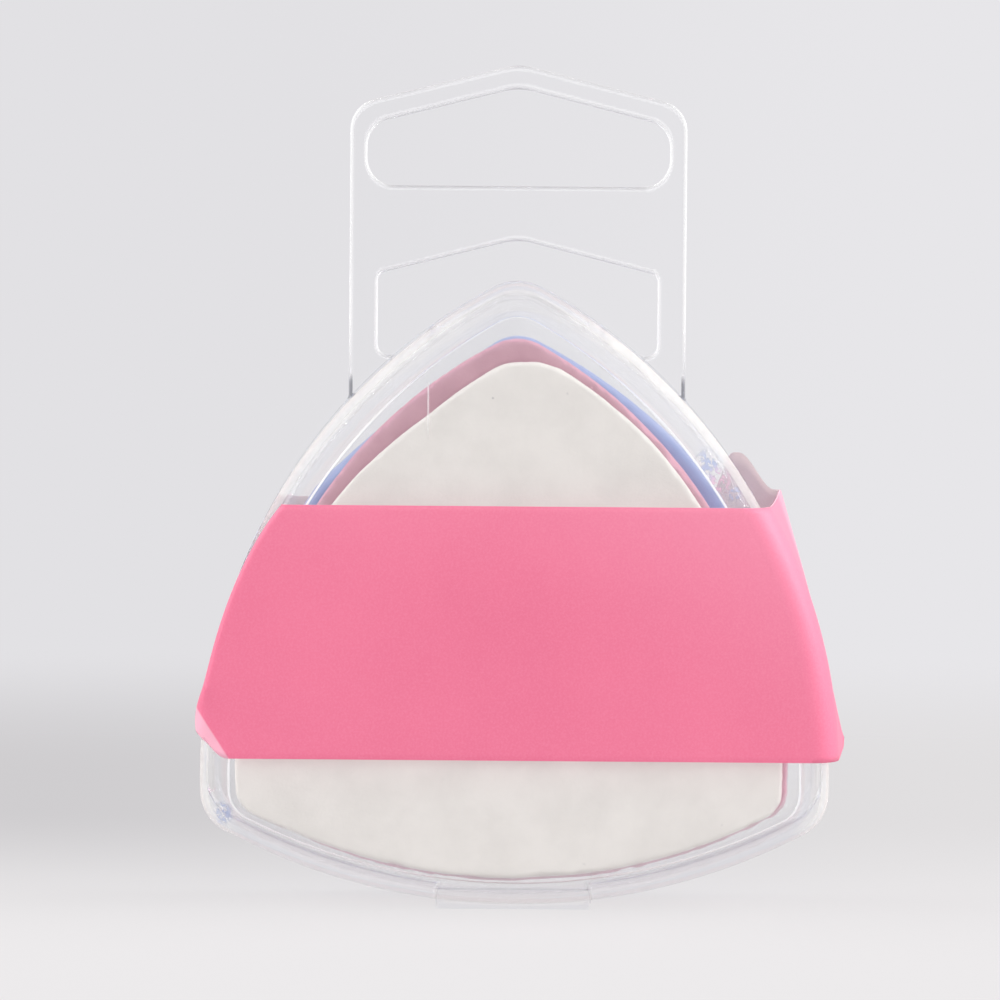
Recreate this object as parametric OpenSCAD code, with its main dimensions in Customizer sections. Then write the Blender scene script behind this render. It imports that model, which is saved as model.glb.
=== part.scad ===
// Tailor's chalk: three triangular clay tablets in a clear two-part case
// that stands on a small foot and hangs by the tab at its back plane.
// X runs across the case, the window faces -Y and Z points up. The origin
// is the middle of the foot.

/* [Case outline] */
// Width of the case across its lower corners
case_w = 65.4; // [62:0.2:72]
// Height from the foot to the apex
case_h = 64.7; // [63:0.1:70]
// Radius of the two bowed sides
side_r = 57; // [54:1:62]
// Radius of the bowed bottom
bottom_r = 64; // [60:1:80]
// Radius of the lower corners
corner_r = 5; // [4:0.5:7]
// Radius of the apex
apex_r = 5.5; // [5:0.5:8]

/* [Case walls] */
// Wall of the cover
wall = 1.2; // [0.9:0.1:1.6]
// Thickness of the back plate and of the hang tab
back_t = 1.2; // [0.9:0.1:2]
// Taper that lets the cover leave its mould
draft = 0.35; // [0.2:0.05:0.5]
// Width of the bevel round the window
bevel_w = 2.2; // [1.6:0.1:2.8]
// Height that the bevel lifts the window
bevel_h = 1.1; // [0.6:0.1:1.4]
// Wall of the pocket that holds the tablets
pocket_wall = 1.5; // [1:0.1:2]
// Clearance of the cover round the pocket
cover_fit = 0.2; // [0.15:0.05:0.4]

/* [Foot and finger notch] */
// Width of the flat foot
foot_w = 16; // [12:1:20]
// How far the foot stands below the bowed bottom
foot_h = 0.25; // [0.2:0.05:0.5]
// Width of the finger notch at the apex
notch_w = 18.6; // [14:0.2:22]
// Depth of the finger notch in the rim of the cover
notch_d = 5; // [3:0.5:8]

/* [Snap beads] */
// Length of each bead
bead_l = 8; // [5:0.5:12]
// Height of each bead above the pocket wall
bead_h = 0.14; // [0.08:0.02:0.14]
// Height of the middle of the beads above the foot
bead_z = 33; // [28:1:40]

/* [Hang tab] */
// Width of the hang slot
slot_w = 32; // [28:0.5:36]
// Material outside each end of the slot
slot_side = 1.8; // [1.4:0.1:3]
// Height of the tab's peak above the apex
tab_rise = 22.9; // [21:0.1:28]
// Drop of the tab's shoulders below its peak
tab_drop = 4.45; // [3:0.05:6]
// Corner radius of the tab
tab_r = 3.3; // [2:0.1:5]
// Strip above the slot's peak
slot_top = 2.5; // [2:0.1:4]
// Height of the slot at its peak
slot_h = 10.4; // [9.4:0.1:11]
// Corner radius of the slot
slot_r = 2.9; // [2:0.1:3]
// Strip between the slot and the window below it
bar_h = 5.6; // [4:0.1:6]
// Width of each leg of the tab
leg_w = 3; // [2.4:0.1:4]
// Fillet where the legs leave the case
root_r = 1.2; // [0.6:0.1:2]

/* [Tablets] */
// Thickness of one tablet
tablet_t = 5.6; // [5:0.1:6.5]
// Clearance beside a tablet at its lower corners
tablet_play = 1.3; // [0.9:0.05:1.6]
// Clearance between a tablet's apex and its pocket
apex_play = 2.65; // [2:0.05:3.5]
// How much tighter a tablet's sides are bowed than its pocket
tablet_bow = 5.3; // [3:0.1:7]
// Clearance in front of the stack
stack_play = 0.65; // [0.4:0.05:0.9]
// Width of the worn bevel along a tablet's edges
edge_bevel = 0.85; // [0.4:0.05:1.2]
// Apex radius of a fresh tablet
tablet_apex_r = 5; // [3.5:0.5:7]
// Apex radius of the used front tablet
worn_apex_r = 8.5; // [7:0.5:11]
// Width that use has taken off the sides of the front tablet
worn = 0.5; // [0:0.05:1]
// Sideways lean of the middle tablet and of the rear tablet in their play
pink_shift = 0.4; // [0:0.05:0.6]
blue_shift = 0.9; // [0:0.05:1]

/* [Label] */
// Height of the label's lower edge
label_z = 15.6; // [15:0.1:20]
// Height of the label
label_h = 26.1; // [22:0.1:28]
// Thickness of the paper
paper_t = 0.22; // [0.15:0.01:0.3]
// How far the loose side stands off at its top
flare_top = 3; // [2:0.1:3.5]
// How far the loose side stands off at its bottom
flare_low = 2.1; // [1.8:0.1:3]
// Height of the curled flap behind the top right corner
flap_h = 4.8; // [3:0.1:6]

/* [Hidden] */

CLEAR = [0.90, 0.93, 0.95, 0.45];
LABEL = [0.96, 0.55, 0.67];

// Gap between faces that rest on each other
seat = 0.05;
// Clearance between the paper and what it wraps
paper_fit = 0.08;
// Overlap that makes a cut pass through a face
past = 1;

// Depths along Y
case_d = back_t + 3 * (tablet_t + seat) + stack_play + wall;
front_y = -case_d / 2;
back_y = case_d / 2;
plate_y = back_y - back_t;
rim_y = plate_y - seat;
shoulder_y = front_y + bevel_h;

// Rounding of the cover's shoulder, outside and inside
round_d = 1.2;
round_y = 1;
inner_round = 0.3;
pocket_y = shoulder_y + wall + inner_round + seat;

// Insets of the nested outlines from the outermost one
window_d = round_d + bevel_w;
pocket_out = wall + cover_fit;
pocket_in = pocket_out + pocket_wall;
// Share of an inset that is taken along the bowed bottom
low_share = 0.8;

// Radius that a corner and the case's apex lose for each millimetre of inset
corner_loss = 0.55;
apex_loss = 0.45;

// Points on each stretch of the outline, from the foot to the apex
BOTTOM_N = 5;
CORNER_N = 6;
SIDE_N = 12;
APEX_N = 5;
RING_N = 2 * (BOTTOM_N + CORNER_N + SIDE_N + APEX_N);

function direction(v) = atan2(v.y, v.x);
function spoke(a) = [cos(a), sin(a)];

// Where two circles meet, on the left of the way from a to b
function meet(a, ra, b, rb) =
    let (v = b - a, l = norm(v), u = v / l)
    let (s = (ra * ra - rb * rb + l * l) / (2 * l))
    a + s * u + sqrt(ra * ra - s * s) * [-u.y, u.x];

// Arcs of a bowed triangle between two heights: [bottom centre, radius, side centre, radius]
function bows(w, low, high, bottom, side, corner, apex) =
    let (b = [0, low + bottom], x = w / 2 - corner)
    let (c = [x, b.y - sqrt(pow(bottom - corner, 2) - x * x)])
    [b, bottom, meet(c, side - corner, [0, high - apex], side - apex), side];

// Arcs of the outermost outline
case_bows = bows(case_w, foot_h, case_h, bottom_r, side_r, corner_r, apex_r);
bottom_c = case_bows[0];
side_c = case_bows[2];

// Centres of a corner and of the apex at inset d
function corner_at(f, d, r) = meet(f[0], f[1] - low_share * d - r, f[2], f[3] - d - r);
function apex_at(f, d, r) = [0, f[2].y + sqrt(pow(f[3] - d - r, 2) - f[2].x * f[2].x)];

function arc(c, r, a, b, n) = [for (i = [0:n - 1]) c + r * spoke(a + (b - a) * i / n)];

// Right half of the outline at inset d, from the bottom to the apex
function half_ring(f, d, rc, ra) =
    let (c = corner_at(f, d, rc), t = apex_at(f, d, ra))
    let (a = direction(c - f[0]), b = direction(c - f[2]), e = direction(t - f[2]))
    concat(
        arc(f[0], f[1] - low_share * d, -90, a, BOTTOM_N),
        arc(c, rc, a, b, CORNER_N),
        arc(f[2], f[3] - d, b, e, SIDE_N),
        arc(t, ra, e, 90, APEX_N),
        [t + [0, ra]]
    );

function mirrored(h) = concat(h, [for (i = [len(h) - 2:-1:1]) [-h[i].x, h[i].y]]);

// Whole outline of the case at inset d
function ring(d) = mirrored(half_ring(case_bows, d, corner_r - corner_loss * d, apex_r - apex_loss * d));

// Half width of a bowed side at height z and inset d, and the height at half width x
function half_w(z, d) = side_c.x + sqrt(pow(side_r - d, 2) - pow(z - side_c.y, 2));
function side_z(x, d) = side_c.y + sqrt(pow(side_r - d, 2) - pow(x - side_c.x, 2));
// Height of the bowed bottom at distance x from the middle
function bottom_z(x) = bottom_c.y - sqrt(bottom_r * bottom_r - x * x);

// Arc of radius r that rounds the corner b between a and c
function fillet(a, b, c, r, n) =
    let (u = (a - b) / norm(a - b), v = (c - b) / norm(c - b))
    let (h = acos(u * v) / 2, o = b + r / sin(h) * (u + v) / norm(u + v))
    let (p = direction(b + u * r / tan(h) - o), q = direction(b + v * r / tan(h) - o))
    let (sweep = (q - p + 540) % 360 - 180)
    [for (i = [0:n]) o + r * spoke(p + sweep * i / n)];

// Closed path of [x, z, radius] corners with every corner rounded
function rounded(path, n = 8) =
    let (m = len(path))
    [for (i = [0:m - 1])
        let (a = path[(i + m - 1) % m], b = path[i], c = path[(i + 1) % m])
        each fillet([a.x, a.y], [b.x, b.y], [c.x, c.y], b[2], n)];

// Extrusion of an XZ outline between two depths
module slab(y0, y1) {
    translate([0, y1, 0])
        rotate([90, 0, 0])
            linear_extrude(y1 - y0)
                children();
}

// Solid through outlines at depths [y, outline], from the front to the back
module loft(levels) {
    last = len(levels) - 1;
    points = [for (l = levels) for (p = l[1]) [p.x, l[0], p.y]];
    walls = [for (k = [0:last - 1]) for (i = [0:RING_N - 1])
        let (j = (i + 1) % RING_N, a = k * RING_N, b = a + RING_N)
        each [[a + i, a + j, b + j], [a + i, b + j, b + i]]];
    front = [for (i = [RING_N - 1:-1:0]) i];
    back = [for (i = [0:RING_N - 1]) last * RING_N + i];
    polyhedron(points, concat([front], walls, [back]), convexity = 6);
}

// Closed sheet between two grids of points with the same rows and columns
module sheet(outer, inner) {
    rows = len(outer);
    cols = len(outer[0]);
    flat = concat([for (r = outer) each r], [for (r = inner) each r]);
    function at(r, c, side) = side * rows * cols + r * cols + c;
    function tile(a, b, c, d) = [[a, b, c], [a, c, d]];
    skin = [for (r = [0:rows - 2]) for (c = [0:cols - 2]) each concat(
        tile(at(r, c, 0), at(r + 1, c, 0), at(r + 1, c + 1, 0), at(r, c + 1, 0)),
        tile(at(r, c, 1), at(r, c + 1, 1), at(r + 1, c + 1, 1), at(r + 1, c, 1))
    )];
    ends = [for (r = [0:rows - 2]) each concat(
        tile(at(r, 0, 0), at(r, 0, 1), at(r + 1, 0, 1), at(r + 1, 0, 0)),
        tile(at(r, cols - 1, 0), at(r + 1, cols - 1, 0), at(r + 1, cols - 1, 1), at(r, cols - 1, 1))
    )];
    edges = [for (c = [0:cols - 2]) each concat(
        tile(at(0, c, 0), at(0, c + 1, 0), at(0, c + 1, 1), at(0, c, 1)),
        tile(at(rows - 1, c, 0), at(rows - 1, c, 1), at(rows - 1, c + 1, 1), at(rows - 1, c + 1, 0))
    )];
    polyhedron(flat, concat(skin, ends, edges), convexity = 6);
}

// Tray

// Heights and widths of the tab
tab_w = slot_w + 2 * slot_side;
tab_z = case_h + tab_rise;
slot_z = tab_z - slot_top - slot_h;
window_z = slot_z - bar_h;
window_w = tab_w - 2 * leg_w;
slope = tab_drop / (tab_w / 2);
// Radius of the peaks of the tab, of its slot and of its window
peak_r = 6;
// Corner radius of the window, and height where the legs end behind the pocket
window_r = 1;
leg_z = case_h - 20;

module tab_frame() {
    difference() {
        polygon(rounded([
            [tab_w / 2, leg_z, window_r], [tab_w / 2, tab_z - tab_drop, tab_r], [0, tab_z, peak_r],
            [-tab_w / 2, tab_z - tab_drop, tab_r], [-tab_w / 2, leg_z, window_r]
        ]));
        slot_end = slot_z + slot_h - slope * slot_w / 2;
        polygon(rounded([
            [slot_w / 2, slot_z, slot_r], [slot_w / 2, slot_end, slot_r], [0, slot_z + slot_h, peak_r],
            [-slot_w / 2, slot_end, slot_r], [-slot_w / 2, slot_z, slot_r]
        ]));
        window_end = window_z - slope * window_w / 2;
        polygon(rounded([
            [window_w / 2, leg_z - past, window_r], [window_w / 2, window_end, window_r],
            [0, window_z, peak_r],
            [-window_w / 2, window_end, window_r], [-window_w / 2, leg_z - past, window_r]
        ]));
    }
}

// Back plate and tab in one outline, with fillets where the legs leave the case
module plate_outline() {
    offset(r = -root_r, $fn = 32)
        offset(r = root_r, $fn = 32) {
            polygon(ring(0));
            tab_frame();
        }
    foot_outline();
}

module foot_outline() {
    translate([-foot_w / 2, 0])
        square([foot_w, bottom_z(foot_w / 2) + wall / 2]);
}

// Depth of the beads along Y, their distance from the rim and their clearance in the grooves
bead_t = 0.8;
bead_back = 1.6;
bead_fit = 0.15;

// Two short stretches of a band between insets d_out and d_in, at the height of the beads
module bead_pair(d_out, d_in, fit = 0) {
    y0 = rim_y - bead_back - bead_t - fit;
    y1 = rim_y - bead_back + fit;
    length = bead_l + 2 * fit;
    intersection() {
        slab(y0, y1)
            difference() {
                polygon(ring(d_out));
                polygon(ring(d_in));
            }
        translate([-case_w, y0 - past, bead_z - length / 2])
            cube([2 * case_w, y1 - y0 + 2 * past, length]);
    }
}

module base_tray() {
    color(CLEAR) {
        slab(plate_y, back_y)
            plate_outline();
        difference() {
            loft([[pocket_y, ring(pocket_out + draft)], [plate_y + seat, ring(pocket_out)]]);
            slab(pocket_y - past, plate_y)
                polygon(ring(pocket_in));
        }
        bead_pair(pocket_out - bead_h, pocket_in - pocket_wall / 2);
    }
}

// Lid

// Depths and insets [y, d] of the lid's outside and inside, from the window to the rim
lid_out = concat(
    [[front_y, window_d]],
    [for (a = [0:30:90])
        [shoulder_y + round_y * (1 - cos(a)), draft + (round_d - draft) * (1 - sin(a))]],
    [[rim_y, 0]]
);
lid_in = [
    [front_y + wall, window_d + wall / 4],
    [shoulder_y + wall, wall + draft + inner_round],
    [shoulder_y + wall + inner_round, wall + draft],
    [rim_y, wall],
    [rim_y + past, wall]
];

function rings(levels) = [for (l = levels) [l.x, ring(l.y)]];

// Corner radius of the finger notch
notch_r = 1.2;

module finger_notch() {
    x = notch_w / 2;
    low_z = side_z(x, wall) - past;
    translate([0, 0, low_z])
        linear_extrude(case_h + past - low_z)
            polygon(rounded([
                [x, rim_y + 2 * past, notch_r], [-x, rim_y + 2 * past, notch_r],
                [-x, rim_y - notch_d, notch_r], [x, rim_y - notch_d, notch_r]
            ]));
}

module lid() {
    color(CLEAR)
        difference() {
            union() {
                loft(rings(lid_out));
                slab(shoulder_y + round_y, rim_y)
                    foot_outline();
            }
            loft(rings(lid_in));
            finger_notch();
            bead_pair(wall - bead_fit, wall + draft, bead_fit);
        }
}

// Tablets

// Share of its sideways lean that a tablet climbs on the bowed floor
climb = 0.1;
// Radius of a tablet's lower corners and of its bowed bottom
tablet_corner_r = 3.2;
tablet_bottom_r = 57;

// Width of a tablet, and the heights between which it fills its pocket
tablet_w = case_w - 2 * (pocket_in + tablet_play);
floor_z = foot_h + low_share * pocket_in + seat;
tablet_z = apex_at(case_bows, pocket_in, apex_r).y + apex_r - apex_play;
tablet_side_r = side_r - pocket_in - tablet_bow;
tablet_bows = bows(
    tablet_w, floor_z, tablet_z, tablet_bottom_r, tablet_side_r, tablet_corner_r, tablet_apex_r
);

// Outline of a tablet at inset d, with the radius of its apex
function tablet_ring(d, apex) = mirrored(
    half_ring(tablet_bows, d, tablet_corner_r - corner_loss * d, apex)
);

// Tablet at a place counted from the back plate, worn down by loss and standing on the pocket's floor
module tablet(place, apex, shift, loss = 0) {
    y1 = plate_y - seat - place * (tablet_t + seat);
    y0 = y1 - tablet_t;
    half = edge_bevel / 2;
    translate([shift, 0, climb * abs(shift) - low_share * loss])
        loft([
            [y0, tablet_ring(loss + edge_bevel, apex)],
            [y0 + half / 2, tablet_ring(loss + half, apex)],
            [y0 + edge_bevel, tablet_ring(loss, apex)],
            [y1 - edge_bevel, tablet_ring(loss, apex)],
            [y1 - half / 2, tablet_ring(loss + half, apex)],
            [y1, tablet_ring(loss + edge_bevel, apex)]
        ]);
}

module chalk_blue() {
    color([0.62, 0.68, 0.82])
        tablet(0, tablet_apex_r, blue_shift);
}

module chalk_pink() {
    color([0.87, 0.62, 0.71])
        tablet(1, tablet_apex_r, -pink_shift);
}

module chalk_white() {
    color([0.89, 0.88, 0.84])
        tablet(2, worn_apex_r, 0, worn);
}

// Label

label_top = label_z + label_h;

// Rows up the label, and points round its wrapped edge, its bend and its loose side
LABEL_ROWS = 12;
WRAP_N = 15;
BEND_N = 8;
LOOSE_N = 4;

// Paper that lies past the window's edge on the left, at the label's top and bottom
wrap_top = 3.3;
wrap_low = 7.2;
// Share of the height in which the lower left corner is drawn in, and how much of it is left
tuck_share = 0.16;
tuck_left = 0.35;
// Width and depth of the bend on the right, and how far it stands off the case
bend_w = 2.4;
bend_y = 3.5;
bend_off = 0.5;

// Point at distance s along the lid's outside, from the window's edge
function walk(s, i = 0) =
    let (a = lid_out[i], b = lid_out[i + 1], l = norm(b - a))
    (s <= l || i == len(lid_out) - 2) ? a + (b - a) * s / l : walk(s - l, i + 1);

function mix(a, b, t) = a + (b - a) * t;

// Length of paper past the window's edge on the left, at share k of the label's height
function wrap_l(k) = wrap_top + (wrap_low - wrap_top) * (1 - k) * min(1, mix(tuck_left, 1, k / tuck_share));

// Where the loose side meets the back plane, at share k of the label's height
function loose_x(k) = mix(half_w(label_z, 0) + flare_low, half_w(label_top, 0) + flare_top, k);

function bend(a, b, c, t) = mix(mix(a, b, t), mix(b, c, t), t);

// Row of [x, y] points across the label, from left to right
function label_row(z, k) =
    let (w = half_w(z, 0), foot = [w + bend_off, front_y + bend_y])
    concat(
        [for (i = [0:WRAP_N - 1])
            let (p = walk(wrap_l(k) * (1 - i / (WRAP_N - 1))))
            [-half_w(z, p.y), p.x]],
        [[0, front_y]],
        [for (i = [0:BEND_N]) bend([w - bend_w, front_y], [w, front_y], foot, i / BEND_N)],
        [for (i = [1:LOOSE_N]) mix(foot, [loose_x(k), back_y], i / LOOSE_N)]
    );

// Outward unit normals along a row
function normals(row) = [for (i = [0:len(row) - 1])
    let (v = row[min(i + 1, len(row) - 1)] - row[max(i - 1, 0)])
    [v.y, -v.x] / norm(v)];

// Points of the label at a distance off the case
function label_grid(off) = [for (r = [0:LABEL_ROWS])
    let (k = r / LABEL_ROWS, z = label_z + k * label_h, row = label_row(z, k), n = normals(row))
    [for (i = [0:len(row) - 1]) [row[i].x + off * n[i].x, row[i].y + off * n[i].y, z]]];

module label_front() {
    color(LABEL)
        sheet(label_grid(paper_fit + paper_t), label_grid(paper_fit));
}

// Width, slant and corner radius of the flap, and where its outer corner lies
flap_w = 6.2;
flap_slant = 0.8;
flap_r = 1.4;
flap_in = 1.9;
flap_drop = 0.7;
// Radius of the back panel's lower right corner
panel_r = 1.5;

// Back panel, whose flap curls up past the case at the top right
module label_back() {
    edge = [for (i = [0:LABEL_ROWS])
        let (z = mix(label_z, label_top, i / LABEL_ROWS))
        [-half_w(z, paper_t), z]];
    right = loose_x(1);
    flap = [
        [right - flap_w, label_top], [right - flap_w + flap_slant, label_top + flap_h],
        [right - flap_in, label_top + flap_h - flap_drop], [right, label_top]
    ];
    outline = concat(
        edge,
        [flap[0]],
        fillet(flap[0], flap[1], flap[2], flap_r, BEND_N),
        fillet(flap[1], flap[2], flap[3], flap_r, BEND_N),
        [flap[3]],
        fillet(flap[3], [loose_x(0), label_z], edge[0], panel_r, BEND_N)
    );
    color(LABEL)
        slab(back_y + paper_fit, back_y + paper_fit + paper_t)
            polygon(outline);
}

base_tray();
lid();
chalk_white();
chalk_pink();
chalk_blue();
label_front();
label_back();
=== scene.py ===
"""Tailor's chalk in a clear hanging case: the looks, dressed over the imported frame."""

from math import acos, atan2, cos, hypot, pi, radians, sin, sqrt, tan

import bmesh
import bpy
from mathutils import Matrix, Vector, noise
from mathutils.geometry import tessellate_polygon


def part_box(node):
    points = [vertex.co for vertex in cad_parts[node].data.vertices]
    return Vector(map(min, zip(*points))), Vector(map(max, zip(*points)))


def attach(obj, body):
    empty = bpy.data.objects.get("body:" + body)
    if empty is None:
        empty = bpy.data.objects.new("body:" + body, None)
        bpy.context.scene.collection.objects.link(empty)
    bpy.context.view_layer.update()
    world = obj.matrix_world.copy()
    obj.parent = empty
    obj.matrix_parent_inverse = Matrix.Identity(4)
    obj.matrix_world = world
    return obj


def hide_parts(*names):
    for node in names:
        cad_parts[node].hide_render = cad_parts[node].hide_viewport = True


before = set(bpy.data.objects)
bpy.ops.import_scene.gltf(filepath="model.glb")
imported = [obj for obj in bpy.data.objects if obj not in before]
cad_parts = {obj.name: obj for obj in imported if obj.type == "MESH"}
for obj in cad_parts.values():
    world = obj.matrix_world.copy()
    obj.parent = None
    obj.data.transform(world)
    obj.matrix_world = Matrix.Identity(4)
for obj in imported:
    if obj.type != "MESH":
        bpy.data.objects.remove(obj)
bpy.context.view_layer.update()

MM = 0.001

# Sizes in millimetres, as in the solids. Depths come from the frame.
LID_LOW, LID_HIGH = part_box("lid")
FRONT_Y = LID_LOW[1] / MM
BACK_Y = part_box("base_tray")[1][1] / MM
CASE_W = (LID_HIGH[0] - LID_LOW[0]) / MM
CASE_H = 64.7
SIDE_R = 57
BOTTOM_R = 64
CORNER_R = 5
APEX_R = 5.5
# How much of an inset the bottom takes, and how much the radii of corners and apex lose to it
LOW_SHARE = 0.8
CORNER_LOSS = 0.55
APEX_LOSS = 0.45

WALL = 1.2
BACK_T = 1.2
SEAT = 0.05
DRAFT = 0.35
BEVEL_W = 2.2
BEVEL_H = 1.1
ROUND_D = 1.2
INNER_ROUND = 0.3
POCKET_WALL = 1.5
COVER_FIT = 0.2
PLATE_Y = BACK_Y - BACK_T
RIM_Y = PLATE_Y - SEAT
SHOULDER_Y = FRONT_Y + BEVEL_H
POCKET_Y = SHOULDER_Y + WALL + INNER_ROUND + SEAT
WINDOW_D = ROUND_D + BEVEL_W
POCKET_OUT = WALL + COVER_FIT
POCKET_IN = POCKET_OUT + POCKET_WALL

FOOT_W = 16
FOOT_H = 0.25
NOTCH_W = 18.6
NOTCH_D = 5
NOTCH_R = 1.2
BEAD_L = 8
BEAD_H = 0.14
BEAD_Z = 33
BEAD_BACK = 1.6
BEAD_T = 0.8
BEAD_EDGE = 0.2

SLOT_W = 32
SLOT_END = 1.8
TAB_W = SLOT_W + 2 * SLOT_END
TAB_RISE = 22.9
TAB_Z = CASE_H + TAB_RISE
TAB_DROP = 4.45
TAB_R = 3.3
SLOT_H = 10.4
SLOT_R = 2.9
SLOT_ABOVE = 2.5
SLOT_Z = TAB_Z - SLOT_ABOVE - SLOT_H
SLOT_BELOW = 5.6
WINDOW_Z = SLOT_Z - SLOT_BELOW
LEG_W = 3
WINDOW_W = TAB_W - 2 * LEG_W
WINDOW_R = 1
ROOT_R = 1.2
PEAK_R = 6
# Slope of the tab's roof, and the length of a slanting line over its width
SLOPE = TAB_DROP / (TAB_W / 2)
LEAN = hypot(1, SLOPE)

TABLET_T = 5.6
TABLET_PLAY = 1.3
TABLET_W = CASE_W - 2 * (POCKET_IN + TABLET_PLAY)
TABLET_CORNER_R = 3.2
TABLET_BOTTOM_R = 57
TABLET_BOW = 5.3
TABLET_SIDE_R = SIDE_R - POCKET_IN - TABLET_BOW
TABLET_APEX_R = 5
APEX_PLAY = 2.65
FLOOR_Z = FOOT_H + LOW_SHARE * POCKET_IN + SEAT

LABEL_Z = 15.6
LABEL_H = 26.1
LABEL_TOP = LABEL_Z + LABEL_H
PAPER_T = 0.22
PAPER_FIT = 0.08
FLARE_TOP = 2.35
FLARE_LOW = 2.1

# Rounding of the moulded edges, and the flat strip next to the plate's
EDGE_R = 0.15
PLATE_R = 0.4
PLATE_RIM = 0.3


def direction(a, b):
    return atan2(b[1] - a[1], b[0] - a[0])


def spoke(centre, radius, angle):
    return centre[0] + radius * cos(angle), centre[1] + radius * sin(angle)


def mix(a, b, t):
    return a + (b - a) * t


def mix2(a, b, t):
    return mix(a[0], b[0], t), mix(a[1], b[1], t)


def ease(t):
    """Smooth step from 0 to 1."""
    t = max(0, min(1, t))
    return t * t * (3 - 2 * t)


def arc(centre, radius, a, b, count):
    """Points from angle a to angle b, without the last."""
    return [spoke(centre, radius, mix(a, b, i / count)) for i in range(count)]


def meet(a, ra, b, rb):
    """Where two circles meet, on the left of the way from a to b."""
    x, z = b[0] - a[0], b[1] - a[1]
    length = hypot(x, z)
    along = (ra * ra - rb * rb + length * length) / (2 * length)
    up = sqrt(ra * ra - along * along)
    return a[0] + (along * x - up * z) / length, a[1] + (along * z + up * x) / length


def fillet(a, b, c, radius, count=8):
    """Arc that rounds the corner b between a and c."""
    u = Vector(a) - Vector(b)
    v = Vector(c) - Vector(b)
    u.normalize()
    v.normalize()
    half = acos(max(-1, min(1, u.dot(v)))) / 2
    centre = Vector(b) + (u + v).normalized() * (radius / sin(half))
    first = direction(centre, Vector(b) + u * (radius / tan(half)))
    last = direction(centre, Vector(b) + v * (radius / tan(half)))
    sweep = (last - first + 3 * pi) % (2 * pi) - pi
    return [spoke(centre, radius, first + sweep * i / count) for i in range(count + 1)]


class Bows:
    """Arcs of a bowed triangle, in X and Z, and its outlines at any inset."""

    def __init__(self, width, low, high, bottom_r, side_r, corner_r, apex_r):
        self.bottom = (0, low + bottom_r)
        self.bottom_r = bottom_r
        self.side_r = side_r
        x = width / 2 - corner_r
        corner = (x, self.bottom[1] - sqrt((bottom_r - corner_r) ** 2 - x * x))
        self.side = meet(corner, side_r - corner_r, (0, high - apex_r), side_r - apex_r)

    def apex(self, d, radius):
        """Centre of an apex of a given radius at inset d."""
        return 0, self.side[1] + sqrt((self.side_r - d - radius) ** 2 - self.side[0] ** 2)

    def corner(self, d, radius):
        low = self.bottom_r - LOW_SHARE * d - radius
        return meet(self.bottom, low, self.side, self.side_r - d - radius)

    def side_z(self, x, d):
        return self.side[1] + sqrt((self.side_r - d) ** 2 - (x - self.side[0]) ** 2)

    def half_w(self, z, d):
        return self.side[0] + sqrt((self.side_r - d) ** 2 - (z - self.side[1]) ** 2)

    def bottom_z(self, x, d):
        return self.bottom[1] - sqrt((self.bottom_r - LOW_SHARE * d) ** 2 - x * x)


CASE = Bows(CASE_W, FOOT_H, CASE_H, BOTTOM_R, SIDE_R, CORNER_R, APEX_R)
TABLET_TOP = CASE.apex(POCKET_IN, APEX_R)[1] + APEX_R - APEX_PLAY
TABLET = Bows(
    TABLET_W, FLOOR_Z, TABLET_TOP, TABLET_BOTTOM_R, TABLET_SIDE_R, TABLET_CORNER_R, TABLET_APEX_R
)
SIDE_C = CASE.side
side_z = CASE.side_z
half_w = CASE.half_w
bottom_z = CASE.bottom_z

# Columns of points round the outline: fixed widths near the foot and the notch, angles between.
# A step of the outline takes up JUMP.
JUMP = 0.02
FOOT_SIDE = FOOT_W / 2
FOOT_X = [0, 1.5, 3, 4.5, 6, 7, 7.6, FOOT_SIDE, FOOT_SIDE + JUMP, 8.5, 9.2, 10]
FOOT_LAST = FOOT_X.index(FOOT_SIDE)
NOTCH_SIDE = NOTCH_W / 2
NOTCH_TURN = [radians(15 * i) for i in range(7)]
BESIDE_NOTCH = [12, 11.4, 10.8, 10.2, 9.7, NOTCH_SIDE]
TOP_X = (
    BESIDE_NOTCH
    + [NOTCH_SIDE - JUMP - NOTCH_R * (1 - cos(t)) for t in NOTCH_TURN]
    + [7.7 - 0.35 * i for i in range(22)]
    + [0]
)
BOTTOM_N = 26
CORNER_N = 12
SIDE_N = 88


def half_outline(bows, d, corner, apex):
    """Right half of an outline at inset d, from the foot to the apex."""
    c, top = bows.corner(d, corner), bows.apex(d, apex)
    a, b, e = direction(bows.bottom, c), direction(bows.side, c), direction(bows.side, top)
    x0, x1 = FOOT_X[-1], TOP_X[0]
    start = direction(bows.bottom, (x0, bows.bottom_z(x0, d)))
    end = direction(bows.side, (x1, bows.side_z(x1, d)))
    tangent_x = top[0] + apex * cos(e)
    points = [(x, bows.bottom_z(x, d)) for x in FOOT_X[:-1]]
    points += arc(bows.bottom, bows.bottom_r - LOW_SHARE * d, start, a, BOTTOM_N)
    points += arc(c, corner, a, b, CORNER_N)
    points += arc(bows.side, bows.side_r - d, b, end, SIDE_N)
    for x in TOP_X:
        z = bows.side_z(x, d) if x > tangent_x else top[1] + sqrt(apex * apex - x * x)
        points.append((x, z))
    return points


def half_ring(d):
    return half_outline(CASE, d, CORNER_R - CORNER_LOSS * d, APEX_R - APEX_LOSS * d)


def mirrored(half):
    """Closed outline from its right half, whose ends lie on the middle line."""
    return half + [(-x, z) for x, z in half[-2:0:-1]]


def ring(d):
    return mirrored(half_ring(d))


def tablet_ring(d, apex):
    return mirrored(half_outline(TABLET, d, TABLET_CORNER_R - CORNER_LOSS * d, apex))


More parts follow.
